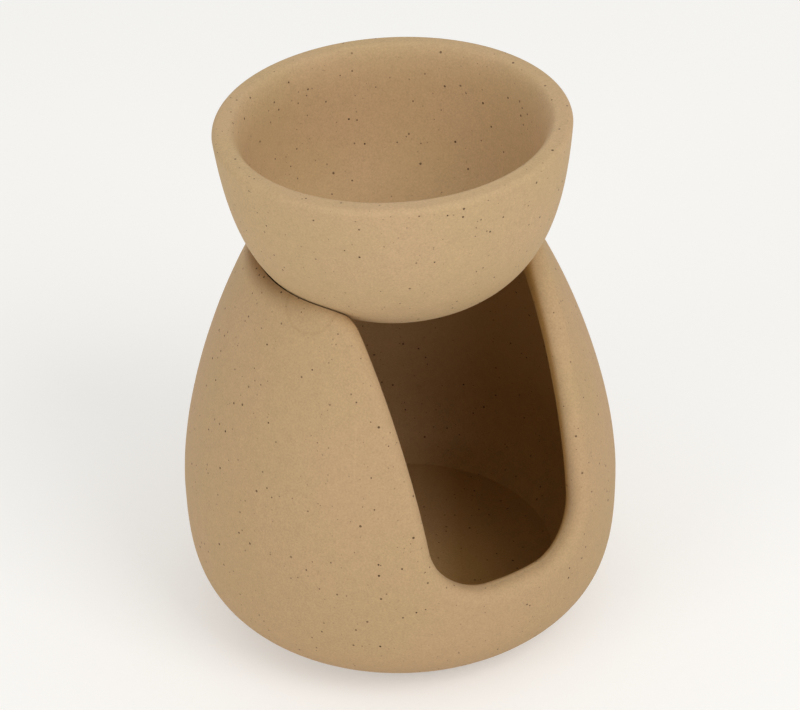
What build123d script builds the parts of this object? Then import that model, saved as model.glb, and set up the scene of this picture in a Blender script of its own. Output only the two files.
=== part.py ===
from build123d import *
import math
import os

# An oil burner in stoneware: a round base with an open mouth, a loose bowl on its rim and a tealight inside.
# Lengths are in millimetres and angles in degrees. The foot stands on z = 0 and the mouth faces -Y.

# Bowl for the water and the oil
bowl_radius = 40.9
bowl_height = 44.2
bowl_wall = 6.2
bowl_floor = 6.0
bowl_foot_trim = 0.8
bottom_handle_share = 0.784
lip_handle_share = 0.648
lip_flare = 5.0
lip_roll_depth = 9.0
lip_roll_width_share = 0.55
lip_roll_handle_share = 0.55
lip_outer_round_share = 0.225

# How the bowl sits in the rim of the base
seat_share = 0.518
seat_clearance = 0.3
rim_land = 0.7
bowl_lean = 1.4
lean_heading = 150.7
bowl_shift = 0.35

# Base
base_height = 98.7
belly_radius = 52.5
belly_height = 33.0
foot_radius = 34.7
foot_rise = 24.7
rim_lean = 29.3
foot_handle_share = 0.52
haunch_handle_share = 0.608
shoulder_handle_share = 0.294
rim_handle_share = 0.324
base_wall = 6.2
chamber_floor = 7.5
foot_ring_width = 6.0
foot_recess = 1.5
foot_ring_round = 0.6
lower_wall_shares = (0, 0.35, 0.7)
upper_wall_shares = (0, 0.25, 0.5, 0.75, 1)

# Mouth in the front of the base
sill_height = 31.6
mouth_left_at_sill = 17.0
left_horn_inset = 10.7
mouth_left_corner = 14.0
mouth_right_at_sill = 21.2
right_horn_inset = 9.2
mouth_right_corner = 12.0
horn_round_share = 0.7
outer_round_share = 0.46
mouth_inner_round = 2.0

# Tealight
tealight_gap = 1.5
tealight_heading = 150.7
cup_radius = 19.0
cup_foot_radius = 18.4
cup_height = 15.0
cup_wall = 0.4
cup_bead = 0.6
wax_height = 11.6
wax_gap = 0.1
tab_radius = 6.0
tab_thickness = 0.3
tab_neck_radius = 1.5
tab_neck_height = 4.0
wick_radius = 0.8
wick_gap = 0.05
wick_stand = 2.5
wick_bend_radius = 7.0
wick_bend = 28.0

# One overrun for every cut
overrun = 4.0

quarter_turn = 90


def heading_vector(heading):
    return Vector(math.cos(math.radians(heading)), math.sin(math.radians(heading)), 0)


def bowl_side(top_radius, bottom, top):
    """Curved side of the bowl, drawn from its axis at one height up to a radius at another."""
    top_point = Vector(top_radius, top)
    top_handle = Vector(0, (top - bottom) * lip_handle_share).rotate(Axis.Z, -lip_flare)
    return Bezier((0, bottom), (top_radius * bottom_handle_share, bottom), top_point - top_handle, top_point)


def set_back(wall_line, share):
    """Point of the chamber's wall behind a point of the outside, square to it."""
    return wall_line @ share + (wall_line % share).rotate(Axis.Z, quarter_turn) * base_wall


# The rim carries the bowl at one ring of its side
with BuildLine() as bowl_outline:
    bowl_side(bowl_radius, 0, bowl_height)
seat_point = bowl_outline.line @ seat_share
seat_tangent = bowl_outline.line % seat_share
rim_radius = seat_point.X + seat_clearance + rim_land

# The bowl leans about the point on its axis where the lines square to that ring meet
lean_centre_rise = seat_point.Y + seat_point.X * seat_tangent.X / seat_tangent.Y
lean_side = heading_vector(lean_heading)
lean_centre = lean_side * -bowl_shift + Vector(0, 0, base_height - seat_point.Y + lean_centre_rise)
bowl_up = Vector(0, 0, 1).rotate(Axis((0, 0, 0), heading_vector(lean_heading + quarter_turn)), bowl_lean)
bowl_bottom = lean_centre - bowl_up * lean_centre_rise
bowl_across = heading_vector(lean_heading + quarter_turn)
bowl_plane = Plane(origin=bowl_bottom, x_dir=bowl_across, z_dir=bowl_across.cross(bowl_up))
bowl_axis = Axis(bowl_bottom, bowl_up)

# Oil bowl: its hollow rolls over into the lip, and it is trimmed flat underneath, so that it also stands alone
lip_slope = Vector(0, 1).rotate(Axis.Z, -lip_flare)
lip_roll_width = bowl_wall * lip_roll_width_share
roll_foot = Vector(bowl_radius - bowl_wall, bowl_height) - lip_slope * lip_roll_depth
roll_top = Vector(roll_foot.X + lip_roll_width, bowl_height)
roll_rise = lip_slope * (lip_roll_depth * lip_roll_handle_share)
roll_run = Vector(lip_roll_width * lip_roll_handle_share, 0)

with BuildPart() as oil_bowl:
    with BuildSketch(bowl_plane) as bowl_section:
        with BuildLine():
            bowl_side(bowl_radius, 0, bowl_height)
            Line((bowl_radius, bowl_height), roll_top)
            Bezier(roll_foot, roll_foot + roll_rise, roll_top - roll_run, roll_top)
            bowl_side(roll_foot.X, bowl_floor, roll_foot.Y)
            Line((0, bowl_floor), (0, 0))
        make_face()
        outer_lip = bowl_section.vertices().group_by(Axis.Y)[-1].sort_by(Axis.X)[-1]
        fillet(outer_lip, bowl_wall * lip_outer_round_share)
        with Locations((0, bowl_foot_trim)):
            Rectangle(bowl_radius, bowl_floor, align=(Align.MIN, Align.MAX), mode=Mode.SUBTRACT)
    revolve(axis=bowl_axis)

# Burner base: a round shell with a level floor, a mouth that runs up through its rim and a hollowed seat
shoulder_height = base_height - belly_height
mouth_left_at_rim = rim_radius - left_horn_inset
mouth_right_at_rim = rim_radius - right_horn_inset
horn_round = min(left_horn_inset, right_horn_inset) * horn_round_share
foot_point = Vector(foot_radius, 0)
belly_point = Vector(belly_radius, belly_height)
rim_point = Vector(rim_radius, base_height)
foot_handle = Vector(belly_height * foot_handle_share, 0).rotate(Axis.Z, foot_rise)
haunch_point = belly_point - Vector(0, belly_height * haunch_handle_share)
shoulder_handle = Vector(0, shoulder_height * shoulder_handle_share)
rim_handle = Vector(0, shoulder_height * rim_handle_share).rotate(Axis.Z, rim_lean)

with BuildPart() as burner_base:
    with BuildSketch(Plane.XZ):
        with BuildLine():
            lower_wall = Bezier(foot_point, foot_point + foot_handle, haunch_point, belly_point)
            upper_wall = Bezier(belly_point, belly_point + shoulder_handle, rim_point - rim_handle, rim_point)
            Polyline(rim_point, (0, base_height), (0, 0), foot_point)
        make_face()
    revolve(axis=Axis.Z)

    # The chamber follows the outside at the wall's thickness, down to its level floor
    with BuildSketch(Plane.XZ):
        with BuildLine():
            inner_wall = Spline(
                *[set_back(lower_wall, share) for share in lower_wall_shares],
                *[set_back(upper_wall, share) for share in upper_wall_shares],
            )
            inner_top = inner_wall @ 1 + (inner_wall % 1) * base_wall
            Line(inner_wall @ 1, inner_top)
            Polyline(inner_top, (0, inner_top.Y), (0, (inner_wall @ 0).Y), inner_wall @ 0)
        make_face()
        with Locations((0, chamber_floor)):
            Rectangle(belly_radius, chamber_floor, align=(Align.MIN, Align.MAX), mode=Mode.SUBTRACT)
    revolve(axis=Axis.Z, mode=Mode.SUBTRACT)

    # The mouth is cut by hand, so its corners differ; its sides turn over into the level rim as round horns
    with BuildSketch(Plane.XZ) as mouth_section:
        with BuildLine():
            Polyline(
                (mouth_right_at_sill, sill_height),
                (mouth_right_at_rim, base_height),
                (belly_radius, base_height),
                (belly_radius, base_height + overrun),
                (-belly_radius, base_height + overrun),
                (-belly_radius, base_height),
                (-mouth_left_at_rim, base_height),
                (-mouth_left_at_sill, sill_height),
                close=True,
            )
        make_face()
        fillet(mouth_section.vertices().group_by(Axis.Y)[0].sort_by(Axis.X)[0], mouth_left_corner)
        fillet(mouth_section.vertices().group_by(Axis.Y)[0].sort_by(Axis.X)[-1], mouth_right_corner)
        fillet(mouth_section.vertices().group_by(Axis.Y)[-2].sort_by(Axis.X)[1:-1], horn_round)
    extrude(amount=belly_radius + overrun, mode=Mode.SUBTRACT)

    # The outer edge of the mouth and of the rim is rounded over in one run, which has to turn with the horns
    outside = burner_base.faces().sort_by(SortBy.AREA)[-1]
    outer_edges = outside.edges().filter_by(lambda edge: edge.center().Z > chamber_floor)
    fillet(outer_edges.filter_by(Plane.XZ, reverse=True), horn_round * outer_round_share)

    # The seat is hollowed by the bowl's own outside, with its clearance, about the bowl's own axis
    with BuildSketch(bowl_plane):
        with BuildLine():
            bowl_side(bowl_radius + seat_clearance, -seat_clearance, bowl_height)
            Polyline((bowl_radius + seat_clearance, bowl_height), (0, bowl_height), (0, -seat_clearance))
        make_face()
    revolve(axis=bowl_axis, mode=Mode.SUBTRACT)

    # The inner edge of the mouth is rounded from the seat down to the sill and up again
    inside = burner_base.faces().filter_by(GeomType.REVOLUTION).sort_by(SortBy.AREA)[-2]
    front_edges = inside.edges().filter_by(lambda edge: edge.center().Y < 0)
    fillet(front_edges.filter_by_position(Axis.X, -mouth_left_at_rim, mouth_right_at_rim), mouth_inner_round)

    # The underside is hollowed a little, so that the base stands on a ring
    with BuildSketch(Plane.XY):
        Circle(foot_radius - foot_ring_width)
    extrude(amount=foot_recess, mode=Mode.SUBTRACT)
    fillet(burner_base.faces().group_by(Axis.Z)[0].edges(), foot_ring_round)

# Tealight: a metal cup of wax with a wick held upright by a tab, all about one upright axis. It stands on the
# chamber's floor, close to the wall beside the mouth
chamber_floor_face = burner_base.faces().filter_by(Axis.Z).sort_by(SortBy.AREA)[-1]
tealight_offset = chamber_floor_face.edges()[0].radius - cup_foot_radius - tealight_gap
tealight_foot = heading_vector(tealight_heading) * tealight_offset + Vector(0, 0, chamber_floor)
tealight_plane = Plane(origin=tealight_foot, x_dir=(1, 0, 0), z_dir=(0, -1, 0))
tealight_axis = Axis(tealight_foot, (0, 0, 1))
cup_spread = cup_radius - cup_foot_radius


def cup_inside(rise):
    """Radius of the cup's inside at a height above the floor that it stands on."""
    return cup_foot_radius - cup_wall + cup_spread * rise / cup_height


with BuildPart() as tealight_cup:
    with BuildSketch(tealight_plane) as cup_section:
        with BuildLine():
            Polyline(
                (0, 0),
                (cup_foot_radius, 0),
                (cup_radius, cup_height - cup_bead),
                (cup_radius, cup_height),
                (cup_radius - cup_wall, cup_height),
                (cup_inside(cup_wall), cup_wall),
                (0, cup_wall),
                close=True,
            )
        make_face()
        with Locations((cup_radius, cup_height - cup_bead)):
            Circle(cup_bead)
    revolve(axis=tealight_axis)

with BuildPart() as tealight_wax:
    with BuildSketch(tealight_plane):
        with BuildLine():
            Polyline(
                (tab_radius + wax_gap, cup_wall),
                (cup_inside(cup_wall) - wax_gap, cup_wall),
                (cup_inside(wax_height) - wax_gap, wax_height),
                (wick_radius + wax_gap, wax_height),
                (wick_radius + wax_gap, cup_wall + tab_neck_height + wax_gap),
                (tab_neck_radius + wax_gap, cup_wall + tab_neck_height + wax_gap),
                (tab_neck_radius + wax_gap, cup_wall + tab_thickness + wax_gap),
                (tab_radius + wax_gap, cup_wall + tab_thickness + wax_gap),
                close=True,
            )
        make_face()
    revolve(axis=tealight_axis)

with BuildPart() as wick_tab:
    with BuildSketch(tealight_plane):
        with BuildLine():
            Polyline(
                (wick_radius + wick_gap, cup_wall),
                (tab_radius, cup_wall),
                (tab_radius, cup_wall + tab_thickness),
                (tab_neck_radius, cup_wall + tab_thickness),
                (tab_neck_radius, cup_wall + tab_neck_height),
                (wick_radius + wick_gap, cup_wall + tab_neck_height),
                close=True,
            )
        make_face()
    revolve(axis=tealight_axis)

with BuildPart() as wick:
    with BuildLine(tealight_plane):
        wick_stem = Line((0, cup_wall), (0, wax_height + wick_stand))
        JernArc(wick_stem @ 1, wick_stem % 1, wick_bend_radius, wick_bend)
    with BuildSketch(Plane.XY.offset(chamber_floor + cup_wall)):
        with Locations((tealight_foot.X, tealight_foot.Y)):
            Circle(wick_radius)
    sweep()

pieces = {
    "burner_base": burner_base,
    "oil_bowl": oil_bowl,
    "tealight_cup": tealight_cup,
    "tealight_wax": tealight_wax,
    "wick_tab": wick_tab,
    "wick": wick,
}
os.makedirs("parts", exist_ok=True)
for name, piece in pieces.items():
    piece.part.label = name
    export_step(piece.part, f"parts/{name}.step")
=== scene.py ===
# %% [markdown]
# # A stoneware oil burner with a loose bowl and a tealight
# The burner is two pieces of speckled stoneware: a hollow base with a mouth in its front, and a
# bowl that rests in its rim. A tealight stands in the chamber. The construction model already holds
# every piece at its real size, so this lesson loads it as a fixed frame, gives the pottery its
# finish, and models the small tealight in more detail than the frame has.

import math

import bmesh
import bpy
from mathutils import Matrix, Vector


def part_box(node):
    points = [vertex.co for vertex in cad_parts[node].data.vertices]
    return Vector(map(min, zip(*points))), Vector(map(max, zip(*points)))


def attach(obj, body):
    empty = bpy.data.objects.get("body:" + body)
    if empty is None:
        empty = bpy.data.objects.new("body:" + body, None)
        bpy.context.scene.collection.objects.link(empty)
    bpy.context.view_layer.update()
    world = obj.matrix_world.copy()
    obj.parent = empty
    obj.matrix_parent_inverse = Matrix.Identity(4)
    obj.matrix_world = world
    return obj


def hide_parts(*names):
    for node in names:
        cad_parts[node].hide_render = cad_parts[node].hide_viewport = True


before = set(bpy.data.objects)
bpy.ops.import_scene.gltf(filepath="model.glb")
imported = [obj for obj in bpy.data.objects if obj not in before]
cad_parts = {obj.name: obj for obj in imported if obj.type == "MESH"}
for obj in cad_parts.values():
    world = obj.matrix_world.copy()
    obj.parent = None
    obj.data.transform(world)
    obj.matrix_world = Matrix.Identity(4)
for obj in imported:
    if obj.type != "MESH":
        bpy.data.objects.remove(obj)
bpy.ops.object.select_all(action="DESELECT")
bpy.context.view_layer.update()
scene = bpy.context.scene
scene.view_settings.view_transform = "Standard"

# %% [markdown]
# ## Camera
# A product picture like this is taken with a long lens from above, so that the round shapes stay
# calm and the bowl shows its inside. The camera could be placed by eye, but a heading, a height and
# a distance are easier to correct one at a time: the camera looks back at one point on the burner's
# axis, and a small roll and lens shift finish the framing.

# %% Camera
picture_width = 800
look_at = Vector((0, 0, 0.065))
camera_heading = math.radians(-29.3)
camera_height = math.radians(33.89)
camera_roll = math.radians(-1.47)
camera_distance = 0.6667
lens_length = 126
shift_right_pixels = 2.57
shift_up_pixels = 5.43


def direction(heading, height):
    """Unit vector from the burner towards a heading, counted from its mouth, and a height."""
    return Vector((
        math.sin(heading) * math.cos(height),
        -math.cos(heading) * math.cos(height),
        math.sin(height),
    ))


def camera_frame():
    """Place and axes of the camera as a matrix."""
    away = direction(camera_heading, camera_height)
    right = Vector((math.cos(camera_heading), math.sin(camera_heading), 0))
    up = away.cross(right)
    turn = Matrix.Rotation(camera_roll, 3, away)
    place = Matrix((turn @ right, turn @ up, away)).transposed().to_4x4()
    place.translation = look_at + away * camera_distance
    return place


bpy.ops.object.camera_add()
camera = bpy.context.object
camera.name = "camera"
camera.data.lens = lens_length
camera.data.shift_x = shift_right_pixels / picture_width
camera.data.shift_y = shift_up_pixels / picture_width
camera.data.clip_start = 0.01
camera.matrix_world = camera_frame()
scene.camera = camera
print("camera at", [round(x, 3) for x in camera.matrix_world.translation])

# %% [markdown]
# ## Sums on sockets
# A procedural finish is mostly arithmetic: masks are multiplied, turned over and added. Placing
# Math nodes by hand hides that arithmetic, so one small class wraps a socket. Python's own
# operators then add the Math nodes, and one method adds every other kind of node.

# %% Socket class
mix_factor, mix_first, mix_second, mix_result = 0, 6, 7, 2  # the Mix node's sockets for colours


class Wire:
    """A socket in a node tree, on which sums are written as in Python."""

    def __init__(self, tree, socket=None):
        self.tree = tree
        self.socket = socket

    def node(self, kind, sockets=None, settings=None, out=0):
        """Adds a node, sets it up, fills or links its sockets, and returns one of its outputs."""
        made = self.tree.nodes.new(kind)
        for name, value in (settings or {}).items():
            setattr(made, name, value)
        for key, value in (sockets or {}).items():
            if isinstance(value, Wire):
                self.tree.links.new(value.socket, made.inputs[key])
            else:
                made.inputs[key].default_value = value
        return Wire(self.tree, made.outputs[out]) if made.outputs else None

    def other(self, out):
        """Another output of the node that this socket belongs to."""
        return Wire(self.tree, self.socket.node.outputs[out])

    def sum_of(self, operation, first, second):
        return self.node("ShaderNodeMath", {0: first, 1: second}, {"operation": operation})

    def __add__(self, other):
        return self.sum_of("ADD", self, other)

    def __radd__(self, other):
        return self.sum_of("ADD", other, self)

    def __sub__(self, other):
        return self.sum_of("SUBTRACT", self, other)

    def __rsub__(self, other):
        return self.sum_of("SUBTRACT", other, self)

    def __mul__(self, other):
        return self.sum_of("MULTIPLY", self, other)

    def __rmul__(self, other):
        return self.sum_of("MULTIPLY", other, self)

    def rise(self, start, end):
        """0 below start, 1 above end, and a smooth step between them."""
        return self.node(
            "ShaderNodeMapRange",
            {"Value": self, "From Min": start, "From Max": end},
            {"interpolation_type": "SMOOTHSTEP"},
        )

    def blend(self, first, second):
        """The first colour where this is 0, and the second where it is 1."""
        sockets = {mix_factor: self, mix_first: first, mix_second: second}
        return self.node("ShaderNodeMix", sockets, {"data_type": "RGBA"}, out=mix_result)

    def shaded(self, shade):
        """This colour times a number that changes over the surface."""
        return self.tinted(self.node("ShaderNodeCombineColor", {0: shade, 1: shade, 2: shade}))

    def curve(self, points):
        """The height of a smooth curve through points of (value, height), at this value."""
        looked_up = self.node("ShaderNodeFloatCurve", {"Value": self})
        mapping = looked_up.socket.node.mapping
        knots = mapping.curves[0].points
        knots[0].location = points[0]
        knots[1].location = points[-1]
        for point in points[1:-1]:
            knots.new(*point)
        mapping.update()
        return looked_up

    def tinted(self, tint):
        """This colour times another one."""
        sockets = {mix_factor: 1.0, mix_first: self, mix_second: tint}
        settings = {"data_type": "RGBA", "blend_type": "MULTIPLY"}
        return self.node("ShaderNodeMix", sockets, settings, out=mix_result)

    def distance_to(self, point):
        """How far this place is from a fixed point."""
        return self.node(
            "ShaderNodeVectorMath", {0: self, 1: point}, {"operation": "DISTANCE"}, out="Value")

    def along(self, axis):
        """How far this place lies along an axis."""
        return self.node(
            "ShaderNodeVectorMath", {0: self, 1: axis}, {"operation": "DOT_PRODUCT"}, out="Value")

    def noise(self, per_metre, detail=2.0):
        """Cloudy noise about this place, between 0 and 1 with its middle at a half."""
        sockets = {"Vector": self, "Scale": per_metre, "Detail": detail}
        return self.node("ShaderNodeTexNoise", sockets, out="Fac")

    def stretched(self, scale):
        """This place with each axis scaled by itself."""
        return self.node("ShaderNodeMapping", {"Vector": self, "Scale": scale})


def linear(red, green, blue):
    """A colour as a picture program writes it, from 0 to 255, as the shaders read it."""
    return tuple(
        (v / 255 / 12.92) if v <= 10 else ((v / 255 + 0.055) / 1.055) ** 2.4 for v in (red, green, blue)
    ) + (1,)


def new_finish(name):
    """An empty material, and the place on the piece in metres, as the start of its sums."""
    material = bpy.data.materials.new(name)
    material.use_nodes = True
    material.node_tree.nodes.clear()
    return material, Wire(material.node_tree).node("ShaderNodeTexCoord", out="Object")


print("socket class ready; mid grey is", [round(v, 3) for v in linear(128, 128, 128)])

# %% [markdown]
# ## Floor and light
# The burner stands on a pale sweep. Most of its light comes evenly from all round, as in a light
# tent, and two wide lamps add the rest: a key on the right of the camera, whose soft shadow falls
# back to the left, and a lower, weaker fill on the left. Stronger lamps would make the background
# paler but would also bleach the clay. So the floor adds a pale glow that only the camera sees, and
# the lamps stay at a plain level.

# %% Floor and world
backdrop_colour = linear(244, 243, 239)
floor_colour = linear(252, 251, 249)
floor_width = 4.0
tent_strength = 0.62
floor_glow_share = 0.3
floor_glow_strength = 1.34

bpy.ops.mesh.primitive_plane_add(size=floor_width)
floor = bpy.context.object
floor.name = "floor"
floor_paint, paint = new_finish("pale_floor")
matt = paint.node("ShaderNodeBsdfDiffuse", {"Color": floor_colour})
glow = paint.node("ShaderNodeEmission", {"Color": backdrop_colour, "Strength": floor_glow_strength})
seen = paint.node("ShaderNodeLightPath", out="Is Camera Ray")
shown = paint.node("ShaderNodeMixShader", {0: seen * floor_glow_share, 1: matt, 2: glow})
paint.node("ShaderNodeOutputMaterial", {"Surface": shown})
floor.data.materials.append(floor_paint)

world = bpy.data.worlds.new("light_tent")
scene.world = world
world.use_nodes = True
world.node_tree.nodes.clear()
air = Wire(world.node_tree)
path = air.node("ShaderNodeLightPath", out="Is Camera Ray")
direct_view = path + path.other("Is Glossy Ray") + path.other("Is Transmission Ray")
tent = air.node("ShaderNodeBackground", {"Color": (1, 1, 1, 1), "Strength": tent_strength})
backdrop = air.node("ShaderNodeBackground", {"Color": backdrop_colour, "Strength": 1.0})
sky = air.node("ShaderNodeMixShader", {0: direct_view, 1: tent, 2: backdrop})
air.node("ShaderNodeOutputWorld", {"Surface": sky})
print("floor", floor_width, "m wide, tent strength", tent_strength)


# %% Lamps
def soft_lamp(name, right_of_camera, height, distance, width, watts):
    """A wide square lamp that looks at the burner, placed by its angles in degrees."""
    away = direction(camera_heading + math.radians(right_of_camera), math.radians(height))
    bpy.ops.object.light_add(type="AREA", location=look_at + away * distance)
    lamp = bpy.context.object
    lamp.name = name
    lamp.data.size = width
    lamp.data.energy = watts
    lamp.rotation_euler = away.to_track_quat("Z", "Y").to_euler()
    return lamp


lamps = [
    soft_lamp("key_lamp", right_of_camera=45, height=45, distance=1.2, width=0.6, watts=4.4),
    soft_lamp("fill_lamp", right_of_camera=-45, height=24, distance=1.2, width=0.6, watts=2.1),
]
print("lamps:", [(lamp.name, lamp.data.energy) for lamp in lamps])

# %% [markdown]
# ## Speckled stoneware
# The clay is a warm sand colour, fired matt, with iron specks that burn through as small brown
# dots. An image of dots would have to be wrapped round every piece, so the dots are cut from a
# field of points in space instead: each cell of a Voronoi texture holds one point, and where the
# surface passes near it a round speck shows. A cell's own random colour sets how large and how dark
# its speck is. Noises add the fine grain of the clay and its slow drift in tint.

# %% Specks and grain
iron_brown = linear(62, 36, 14)
plain = (1, 1, 1, 1)
grain_per_metre = 2300.0
mottle_per_metre = 420.0
drift_per_metre = 34.0
drift_from, drift_to = 0.35, 0.65
least_shade, grain_shade, mottle_shade = 0.74, 0.38, 0.14
least_roughness, grain_roughness, mottle_roughness = 0.55, 0.06, 0.14
clay_sheen = 0.14
clay_bump, clay_bump_height = 0.35, 0.00006
palest_speck = 0.5
speck_core_share, speck_edge_share = 0.75, 1.1
speck_layers = (
    {"per_metre": 405, "radius": 0.00034, "least_share": 0.4, "darkest": 1.0},
    {"per_metre": 530, "radius": 0.00019, "least_share": 0.5, "darkest": 0.6},
)


def speck_mask(place, per_metre, radius, least_share, darkest):
    """Mask of one layer of iron specks: one in each cell, with a size and a darkness of its own."""
    cells = place.node("ShaderNodeTexVoronoi", {"Vector": place, "Scale": per_metre}, out="Distance")
    lots = cells.node("ShaderNodeSeparateColor", {"Color": cells.other("Color")})
    reach = (least_share + lots * (1 - least_share)) * (radius * per_metre)
    dark = (palest_speck + (1 - palest_speck) * lots.other(1)) * darkest
    return (1 - cells.rise(reach * speck_core_share, reach * speck_edge_share)) * dark


def stoneware(name, tints, marks=()):
    """Matt speckled clay in two tints that drift into each other. Each mark is a mask and its tint."""
    material, place = new_finish(name)
    grain = place.noise(grain_per_metre)
    mottle = place.noise(mottle_per_metre, detail=3.0)
    drift = place.noise(drift_per_metre)
    shade = least_shade + grain * grain_shade + mottle * mottle_shade
    colour = drift.rise(drift_from, drift_to).blend(*tints).shaded(shade)
    for mask, tint in marks:
        colour = colour.tinted(mask(place).blend(plain, tint))
    for layer in speck_layers:
        colour = speck_mask(place, **layer).blend(colour, iron_brown)
    bump = place.node("ShaderNodeBump", {
        "Strength": clay_bump,
        "Distance": clay_bump_height,
        "Height": grain + mottle,
    })
    clay = place.node("ShaderNodeBsdfPrincipled", {
        "Base Color": colour,
        "Roughness": least_roughness + mottle * mottle_roughness + grain * grain_roughness,
        "Normal": bump,
        "Specular IOR Level": clay_sheen,
    })
    place.node("ShaderNodeOutputMaterial", {"Surface": clay})
    return material


print("stoneware in", len(speck_layers), "layers of specks")

# %% [markdown]
# ## Marks, painted light and painted shade on the clay
# The clay isn't the same all over. The inside of the chamber is painted lighter, and painted shade
# darkens it again towards its right-hand wall and on its floor. Painted shade browns the rim beside
# the bowl on the left, and the left shoulder has a faint darker round line and the trace of a
# mould's edge. They could be painted by hand on an unwrapped surface.
# Here each is a mask worked out from the place on the clay, which needs no unwrapping. The chamber,
# for one, is all that lies deeper than most of the wall behind the outside, and the outside's
# radius at each height is measured on the frame.

# %% Marks on the base
upwards = Vector((0, 0, 1))
chamber_axis = Vector((0.872, -0.489, 0))
# Painted light: the inside of the chamber is painted lighter.
chamber_painted_light_tint = (1.2, 1.14, 1.06, 1)
inside_depths = (0.0038, 0.0060)
above_foot = (0.003, 0.005)
# Painted shade inside the chamber, darker towards its right-hand wall and on its floor.
chamber_shade_tint = (0.62, 0.53, 0.34, 1)
chamber_shade_reach = (-0.002, 0.026)
floor_heights = (0.0078, 0.014)
chamber_floor_shade = 0.35
bowl_centre = Vector((0.0003, -0.0002, 0.1228))
bowl_curve_radius = 0.0401
# Painted shade on the rim beside the bowl, on the left.
seam_shade_tint = (0.5, 0.4, 0.28, 1)
seam_shade_gaps = (0.0004, 0.006)
seam_shade_reach = (-0.034, -0.012)
# A faint darker round line on the left shoulder.
round_line_tint = (0.93, 0.92, 0.9, 1)
round_line_place = Vector((-0.0296, -0.0140, 0.0984))
round_line_radius = 0.0066
round_line_inner_share, round_line_outer_share = 0.86, 1.06
mould_tint = (1.06, 1.06, 1.07, 1)
mould_front = Vector((-0.669, -0.743, 0))
mould_side = Vector((0.743, -0.669, 0))
mould_half_width = 0.0004
mould_foot = (0.060, 0.065)
mould_top = (0.075, 0.080)
mould_front_reach = 0.01
outline_steps = 12
bands_in_step = 4

base_points = [point.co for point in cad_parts["burner_base"].data.vertices]
base_top = max(point.z for point in base_points)
base_reach = max(point.xy.length for point in base_points)


def outside_radius(share):
    """Radius of the base's outside at a share of its height, as a share of its widest radius."""
    band = base_top / outline_steps / bands_in_step
    level = min(max(base_top * share, band), base_top - band)
    return max(point.xy.length for point in base_points if abs(point.z - level) < band) / base_reach


height_shares = [step / outline_steps for step in range(outline_steps + 1)]
base_outline = [(share, outside_radius(share)) for share in height_shares]


def inside_mask(place):
    """Rises from the outside of the base to the walls and floor of the chamber."""
    height = place.along(upwards)
    level = place.node("ShaderNodeVectorMath", {0: place, 1: (1, 1, 0)}, {"operation": "MULTIPLY"})
    outside = (height * (1 / base_top)).curve(base_outline) * base_reach
    depth = outside - level.distance_to((0, 0, 0))
    return depth.rise(*inside_depths) * height.rise(*above_foot)


def chamber_shade_mask(place):
    """Painted shade, rising inside the chamber towards its right-hand wall, and a little more on its
    floor.
    """
    on_floor = 1 - place.along(upwards).rise(*floor_heights)
    return inside_mask(place) * (place.along(chamber_axis).rise(*chamber_shade_reach) + on_floor * chamber_floor_shade)


def seam_shade_mask(place):
    """Painted shade, rising towards the curve of the bowl on the left of the rim."""
    gap = place.distance_to(bowl_centre) - bowl_curve_radius
    return (1 - gap.rise(*seam_shade_gaps)) * (1 - place.along(chamber_axis).rise(*seam_shade_reach))


def round_line_mask(place):
    """A faint darker round line on the left shoulder."""
    share = place.distance_to(round_line_place) * (1 / round_line_radius)
    return share.rise(round_line_inner_share, 1.0) * (1 - share.rise(1.0, round_line_outer_share))


def mould_mask(place):
    """A short upright line on the front left, where the halves of a mould met."""
    off_line = place.along(mould_side)
    line = off_line.rise(-mould_half_width, 0) * (1 - off_line.rise(0, mould_half_width))
    height = place.along(upwards)
    stretch = height.rise(*mould_foot) * (1 - height.rise(*mould_top))
    return line * stretch * place.along(mould_front).rise(0, mould_front_reach)


print("outline of the base:", [(round(h, 2), round(r, 3)) for h, r in base_outline])


# %% Dress the pottery
def dress(node, finish):
    """Gives a node of the frame its finish."""
    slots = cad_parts[node].data.materials
    slots.clear()
    slots.append(finish)


base_tints = (linear(191, 159, 120), linear(189, 159, 118))
bowl_tints = (linear(198, 167, 128), linear(196, 167, 125))
# The chamber's painted light comes first, then the painted shade in the chamber and on the rim.
base_marks = (
    (inside_mask, chamber_painted_light_tint),
    (chamber_shade_mask, chamber_shade_tint),
    (seam_shade_mask, seam_shade_tint),
    (round_line_mask, round_line_tint),
    (mould_mask, mould_tint),
)
dress("burner_base", stoneware("base_stoneware", base_tints, base_marks))
dress("oil_bowl", stoneware("bowl_stoneware", bowl_tints))
print("dressed the base, with", len(base_marks), "marks, and the bowl")

# %% [markdown]
# ## Turned shapes
# The tealight's cup and its wax are round about one upright axis. They could be spun from a drawn
# outline, but with edit mode alone it is simpler to pull them up ring by ring, as on a lathe: a
# circle is the first ring, and each next ring is extruded from the last one, lifted and scaled to
# its own radius about the axis.

# %% Ring by ring
foot_corner, rim_corner = (Vector(corner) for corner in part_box("tealight_cup"))
tealight_axis = (foot_corner + rim_corner) / 2
tealight_axis.z = foot_corner.z


def select_points(piece, wanted):
    """Selects the points of a piece in edit mode for which wanted(place) is true."""
    mesh = bmesh.from_edit_mesh(piece.data)
    for point in mesh.verts:
        point.select = wanted(point.co)
    mesh.select_flush(True)
    bmesh.update_edit_mesh(piece.data)


def ring_started(name, radius, height, sides):
    """A new piece in edit mode: one ring about the tealight's axis, at a height above its foot."""
    bpy.ops.object.select_all(action="DESELECT")
    start = tealight_axis + Vector((0, 0, height))
    bpy.ops.mesh.primitive_circle_add(vertices=sides, radius=radius, location=start)
    piece = bpy.context.object
    piece.name = name
    bpy.ops.object.transform_apply(location=True)
    bpy.ops.object.mode_set(mode="EDIT")
    bpy.ops.mesh.select_mode(type="VERT")
    bpy.ops.mesh.select_all(action="SELECT")
    return piece


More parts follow.
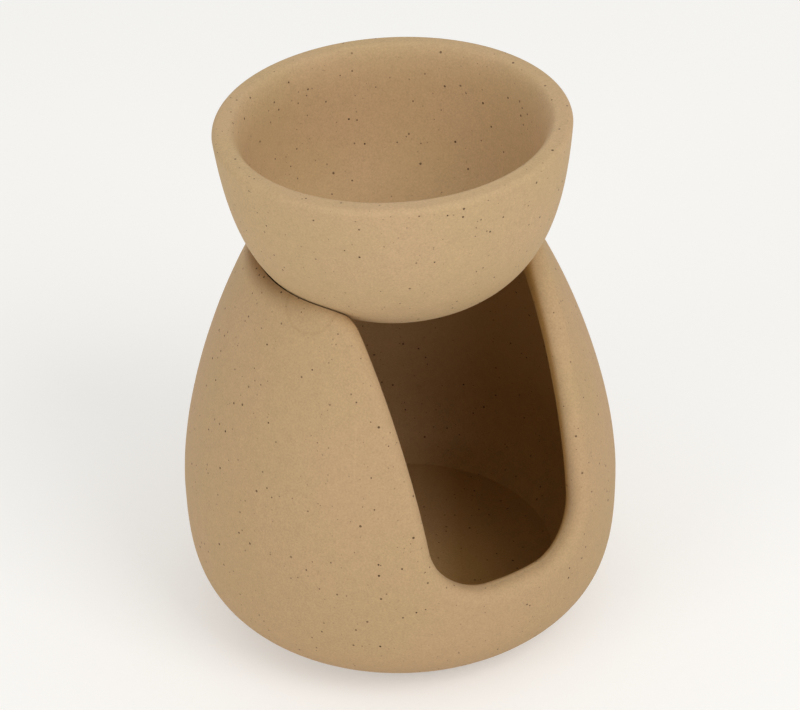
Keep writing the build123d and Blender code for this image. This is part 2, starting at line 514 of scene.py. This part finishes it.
def ring_pulled(last, ring):
    """Extrudes the selected ring to a new radius and height. Both rings are (radius, height)."""
    bpy.ops.mesh.extrude_region_move(TRANSFORM_OT_translate={"value": (0, 0, ring[1] - last[1])})
    scale = ring[0] / last[0]
    bpy.ops.transform.resize(value=(scale, scale, 1), center_override=tealight_axis)


def turned(name, rings, sides):
    """A sheet or solid pulled up through rings of (radius, height)."""
    piece = ring_started(name, *rings[0], sides)
    for last, ring in zip(rings, rings[1:]):
        ring_pulled(last, ring)
    return piece


def finished(piece, angle=60):
    """Leaves edit mode with the normals outwards and smooth shading."""
    bpy.ops.mesh.select_all(action="SELECT")
    bpy.ops.mesh.remove_doubles(threshold=1e-7)
    bpy.ops.mesh.normals_make_consistent(inside=False)
    bpy.ops.object.mode_set(mode="OBJECT")
    bpy.ops.object.shade_smooth_by_angle(angle=math.radians(angle))


def apply_modifier(piece, kind, **settings):
    """Adds a modifier to a piece, sets it up and applies it."""
    modifier = piece.modifiers.new(kind.lower(), kind)
    for name, value in settings.items():
        setattr(modifier, name, value)
    bpy.ops.object.modifier_apply(modifier=modifier.name)


def placed(piece, node, finish):
    """Lets a finished piece stand for its node, ride with the tealight and take its finish."""
    piece.data.materials.append(finish)
    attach(piece, "tealight")
    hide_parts(node)
    print(piece.name, len(piece.data.polygons), "faces")


print("tealight axis at", [round(x, 4) for x in tealight_axis])

# %% [markdown]
# ## Tealight cup
# The cup is pressed from thin aluminium sheet: a flat base with a shallow step, a side with fine
# flutes that keep it stiff, and a rim rolled outwards so that it doesn't cut. The sheet is pulled
# up ring by ring, every second point of the side is drawn in a little for the flutes, and only then
# the sheet gets its thickness.

# %% Cup
mm = 0.001
flutes = 72
sheet_thickness = 0.15 * mm
flute_depth = 0.14 * mm
cup_height = rim_corner.z - foot_corner.z
cup_reach = (rim_corner.x - foot_corner.x) / 2
cup_foot = 18.4 * mm
cup_side = 19.0 * mm
flute_heights = (1.6 * mm, 3.0 * mm, 11.0 * mm, 12.4 * mm)


def side_radius(height):
    """Outside radius of the cup's tapered side."""
    return cup_foot + (cup_side - cup_foot) * height / cup_height


cup_rings = [
    (5.0 * mm, 0.35 * mm),
    (13.6 * mm, 0.35 * mm),
    (14.2 * mm, 0.25 * mm),
    (14.8 * mm, 0.0),
    (17.4 * mm, 0.0),
    (18.0 * mm, 0.15 * mm),
    (side_radius(0.8 * mm), 0.8 * mm),
    *[(side_radius(height), height) for height in flute_heights],
    (side_radius(13.9 * mm), 13.9 * mm),
    (19.1 * mm, cup_height - 0.45 * mm),
    (19.2 * mm, cup_height - 0.12 * mm),
    (19.38 * mm, cup_height),
    (cup_reach, cup_height - 0.3 * mm),
    (cup_reach - 0.06 * mm, cup_height - 0.7 * mm),
    (cup_reach - 0.3 * mm, cup_height - 0.85 * mm),
]
cup = turned("pressed_cup", cup_rings, sides=2 * flutes)
select_points(cup, lambda point: (point - tealight_axis).xy.length < cup_rings[0][0] * 1.01)
bpy.ops.mesh.fill_grid()


def in_flute(point):
    """True on every second point round the side, between the ends of the flutes."""
    arm = point - tealight_axis
    turn = math.atan2(arm.y, arm.x) / math.tau * 2 * flutes
    return round(turn) % 2 == 0 and flute_heights[0] < arm.z < flute_heights[-1]


select_points(cup, in_flute)
draw_in = 1 - flute_depth / cup_side
bpy.ops.transform.resize(value=(draw_in, draw_in, 1), center_override=tealight_axis)
finished(cup)
apply_modifier(cup, "SOLIDIFY", thickness=sheet_thickness, offset=-1.0)
apply_modifier(cup, "SUBSURF", levels=1, render_levels=1)

# %% [markdown]
# ## Aluminium finish
# Pressed aluminium is bright but never a mirror: the press draws fine upright lines into it, and
# handling leaves it cloudy. Both show in the roughness more than in the colour, so a noise
# stretched along the height and a soft cloud of noise drive the roughness, and only a little of the
# tint.

# %% Aluminium
cloud_per_metre = 260.0
cloud_from, cloud_to = 0.3, 0.75
line_roughness, cloud_roughness = 0.16, 0.1
metal_bump, metal_bump_height = 0.25, 0.00003


def pressed_metal(name, colour, dark_colour, roughness, draw):
    """Bright sheet metal with drawn lines along one axis and a soft cloudiness."""
    material, place = new_finish(name)
    lines = place.stretched(draw).noise(1.0, detail=3.0)
    cloud = place.noise(cloud_per_metre)
    bump = place.node("ShaderNodeBump", {
        "Strength": metal_bump,
        "Distance": metal_bump_height,
        "Height": lines + cloud,
    })
    metal = place.node("ShaderNodeBsdfPrincipled", {
        "Base Color": cloud.rise(cloud_from, cloud_to).blend(colour, dark_colour),
        "Metallic": 1.0,
        "Roughness": roughness + lines * line_roughness + cloud * cloud_roughness,
        "Normal": bump,
    })
    place.node("ShaderNodeOutputMaterial", {"Surface": metal})
    return material


aluminium = pressed_metal(
    "tealight_foil",
    linear(222, 222, 224),
    linear(205, 206, 209),
    roughness=0.16,
    draw=(2600, 2600, 160),
)
placed(cup, "tealight_cup", aluminium)

# The steel tab under the wax keeps its shape from the frame.
dress("wick_tab", pressed_metal(
    "wick_tab_steel",
    linear(176, 175, 172),
    linear(150, 149, 146),
    roughness=0.3,
    draw=(900, 2400, 900),
))

# %% [markdown]
# ## Wax
# Poured wax shrinks as it sets: its face sinks a little in the middle and climbs at the cup and at
# the wick. The wax is pulled out ring by ring from the wick to the cup, down the side and back
# along the bottom round the wick's tab, and the last ring is bridged to the first, so that it is
# closed all round.

# %% Wax
wax_foot, wax_top = (corner[2] - tealight_axis.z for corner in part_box("tealight_wax"))
tab_foot, tab_top = (corner[2] - tealight_axis.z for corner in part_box("wick_tab"))
tab_reach = (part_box("wick_tab")[1][0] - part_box("wick_tab")[0][0]) / 2
wick_reach = 0.8 * mm
wax_reach = 18.5 * mm
wax_dip = 0.6 * mm
wax_clearance = 0.1 * mm
wax_rings = [
    (wick_reach + 0.05 * mm, wax_top - 0.1 * mm),
    (wick_reach + 0.4 * mm, wax_top - 0.32 * mm),
    (2.2 * mm, wax_top - 0.52 * mm),
    (4.0 * mm, wax_top - wax_dip),
    (11.0 * mm, wax_top - wax_dip),
    (15.0 * mm, wax_top - 0.55 * mm),
    (17.2 * mm, wax_top - 0.4 * mm),
    (18.1 * mm, wax_top - 0.18 * mm),
    (wax_reach, wax_top),
    (wax_reach, wax_top - 0.2 * mm),
    (18.0 * mm, wax_foot + 0.6 * mm),
    (17.6 * mm, wax_foot + 0.05 * mm),
    (tab_reach + wax_clearance, wax_foot + 0.05 * mm),
    (tab_reach + wax_clearance, tab_foot + 0.5 * mm),
    (1.7 * mm, tab_foot + 0.5 * mm),
    (1.7 * mm, tab_top + wax_clearance),
    (wick_reach + 0.05 * mm, tab_top + wax_clearance),
]
wax = turned("poured_wax", wax_rings, sides=96)


def at_wick(point):
    """True on the first and the last ring, which both go round the wick."""
    return (point - tealight_axis).xy.length < wick_reach + 0.1 * mm


select_points(wax, at_wick)
bpy.ops.mesh.bridge_edge_loops()
finished(wax, angle=50)


# %% Wax finish
bloom_per_metre = 190.0
bloom_from, bloom_to = 0.35, 0.7
ripple_per_metre = 620.0
ripple_share = 0.4
wax_bump, wax_bump_height = 0.3, 0.0001
wax_roughness, bloom_roughness = 0.28, 0.2
wax_white, wax_bloom = linear(240, 236, 224), linear(231, 226, 211)


def wax_finish():
    """White wax that lets light a little way in, with a faint bloom and a soft unevenness."""
    material, place = new_finish("tealight_wax")
    bloom = place.noise(bloom_per_metre, detail=3.0)
    ripple = place.noise(ripple_per_metre)
    bump = place.node("ShaderNodeBump", {
        "Strength": wax_bump,
        "Distance": wax_bump_height,
        "Height": bloom + ripple * ripple_share,
    })
    body = place.node("ShaderNodeBsdfPrincipled", {
        "Base Color": bloom.rise(bloom_from, bloom_to).blend(wax_white, wax_bloom),
        "Roughness": wax_roughness + bloom * bloom_roughness,
        "Normal": bump,
        "Subsurface Weight": 0.35,
        "Subsurface Radius": (1.0, 0.8, 0.6),
        "Subsurface Scale": 0.003,
    })
    place.node("ShaderNodeOutputMaterial", {"Surface": body})
    return material


placed(wax, "tealight_wax", wax_finish())

# %% [markdown]
# ## Wick
# A tealight's wick is a thin cotton cord of three strands, stiff with wax, that leans over at its
# tip. Three separate tubes could be wound round each other, but one ring with three lobes that
# turns as it is extruded gives the same twisted surface in a single closed skin. The last stretch
# also tips over a little at every step.

# %% Wick
wick_low, wick_high = (Vector(corner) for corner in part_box("wick"))
wick_bend = math.radians(28)
wick_bend_radius = 7.0 * mm
stem_top = wick_high.z - wick_bend_radius * math.sin(wick_bend) - wick_reach * math.sin(wick_bend)
strands = 3
points_in_strand = 4
lobe_share = 0.64
wick_skin_share = 0.98
stem_steps = 36
bend_steps = 10
twist = math.radians(27)


def wick_step(centre, ahead, turn):
    """Extrudes the wick's end ring ahead, and twists it about the direction in which it goes."""
    bpy.ops.mesh.extrude_region_move(TRANSFORM_OT_translate={"value": ahead})
    bpy.ops.transform.rotate(value=turn, orient_axis="Z", center_override=centre + ahead)


wick_foot = wick_low.z - tealight_axis.z
wick_sides = strands * points_in_strand
wick = ring_started("twisted_wick", wick_reach * wick_skin_share, wick_foot, wick_sides)


def between_strands(point):
    """True on the points of the first ring that lie in the furrows between the strands."""
    arm = point - tealight_axis
    turn = round(math.atan2(arm.y, arm.x) / math.tau * wick_sides)
    return turn % points_in_strand == 0


select_points(wick, between_strands)
bpy.ops.transform.resize(value=(lobe_share, lobe_share, 1), center_override=tealight_axis)
bpy.ops.mesh.select_all(action="SELECT")
bpy.ops.mesh.edge_face_add()

end = Vector((tealight_axis.x, tealight_axis.y, wick_low.z))
step = Vector((0, 0, (stem_top - wick_low.z) / stem_steps))
for _ in range(stem_steps):
    wick_step(end, step, twist)
    end = end + step
for number in range(bend_steps):
    lean = wick_bend * (number + 0.5) / bend_steps
    step = Vector((-math.sin(lean), 0, math.cos(lean))) * (wick_bend_radius * wick_bend / bend_steps)
    wick_step(end, step, twist)
    end = end + step
    bpy.ops.transform.rotate(value=wick_bend / bend_steps, orient_axis="Y", center_override=end)
finished(wick, angle=80)
apply_modifier(wick, "SUBSURF", levels=1, render_levels=1)
wick_box = [[round(min(v.co[i] for v in wick.data.vertices), 5) for i in range(3)],
            [round(max(v.co[i] for v in wick.data.vertices), 5) for i in range(3)]]
print("wick", wick_box, "frame", [round(x, 5) for x in wick_low], [round(x, 5) for x in wick_high])


# %% Wick finish
fibre_scale = (5200, 5200, 1300)
fibre_from, fibre_to = 0.3, 0.7
cotton_dark, cotton_pale = linear(206, 198, 180), linear(232, 226, 211)
tip_length = 0.0022
tip_colour = linear(120, 104, 84)
tip_share = 0.6
cotton_roughness, fibre_roughness = 0.62, 0.25
cotton_bump, cotton_bump_height = 0.6, 0.00005


def waxed_cotton():
    """Off-white cotton with fine fibres, browner towards its tip."""
    material, place = new_finish("wick_cotton")
    fibres = place.stretched(fibre_scale).noise(1.0, detail=3.0)
    tip = place.along(upwards).rise(wick_high.z - tip_length, wick_high.z)
    cotton = fibres.rise(fibre_from, fibre_to).blend(cotton_dark, cotton_pale)
    bump = place.node("ShaderNodeBump", {
        "Strength": cotton_bump,
        "Distance": cotton_bump_height,
        "Height": fibres,
    })
    body = place.node("ShaderNodeBsdfPrincipled", {
        "Base Color": (tip * tip_share).blend(cotton, tip_colour),
        "Roughness": cotton_roughness + fibres * fibre_roughness,
        "Normal": bump,
    })
    place.node("ShaderNodeOutputMaterial", {"Surface": body})
    return material


placed(wick, "wick", waxed_cotton())
